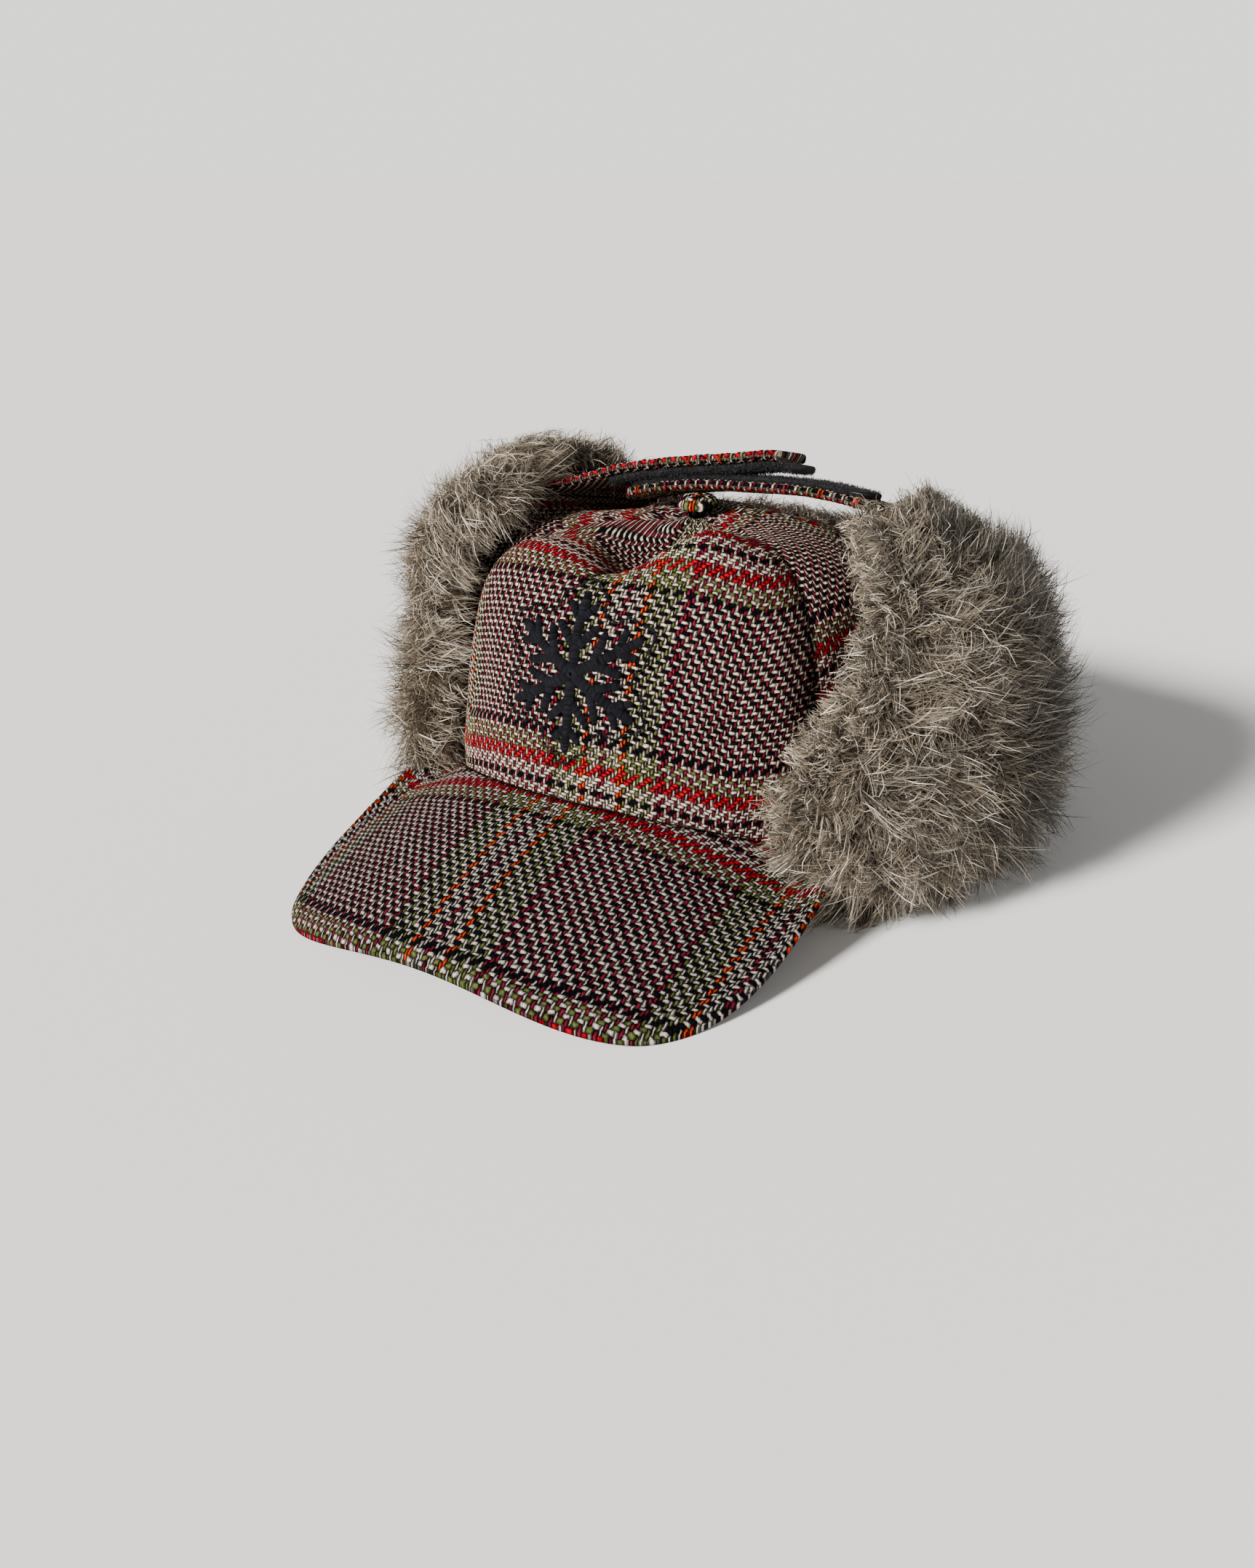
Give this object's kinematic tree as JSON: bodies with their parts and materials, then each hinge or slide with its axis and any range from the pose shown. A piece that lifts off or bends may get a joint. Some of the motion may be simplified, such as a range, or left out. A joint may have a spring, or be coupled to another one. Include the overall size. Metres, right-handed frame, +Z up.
{
  "type": "fur-lined plaid peaked cap",
  "caption": "Soft plaid cloth cap with a bent peak, a covered button and fur-lined ear and neck flaps folded up and strapped together over the crown.",
  "frame": {"origin": "middle of the cap's outline in plan, at the level it rests on", "axes": "+Z up through the crown, -Y towards the peak, +X towards the wearer's left ear"},
  "size_m": [0.2774, 0.3082, 0.1454],
  "materials": {
    "plaid_tweed": "matte",
    "fur_pile": "matte",
    "black_tape": "matte",
    "black_thread": "satin"
  },
  "bodies": {
    "root": {"crown_panel_front_left": "plaid_tweed", "crown_panel_side_left": "plaid_tweed", "crown_panel_back_left": "plaid_tweed", "crown_panel_back_right": "plaid_tweed", "crown_panel_side_right": "plaid_tweed", "crown_panel_front_right": "plaid_tweed", "peak": "plaid_tweed", "flap_cloth": "plaid_tweed", "flap_fur_left": "fur_pile", "flap_fur_neck": "fur_pile", "flap_fur_right": "fur_pile", "top_button": "plaid_tweed", "strap_lower": "plaid_tweed", "strap_upper": "plaid_tweed", "tape_loop": "black_tape", "tape_hook": "black_tape", "front_star": "black_thread"}
  },
  "joints": []
}
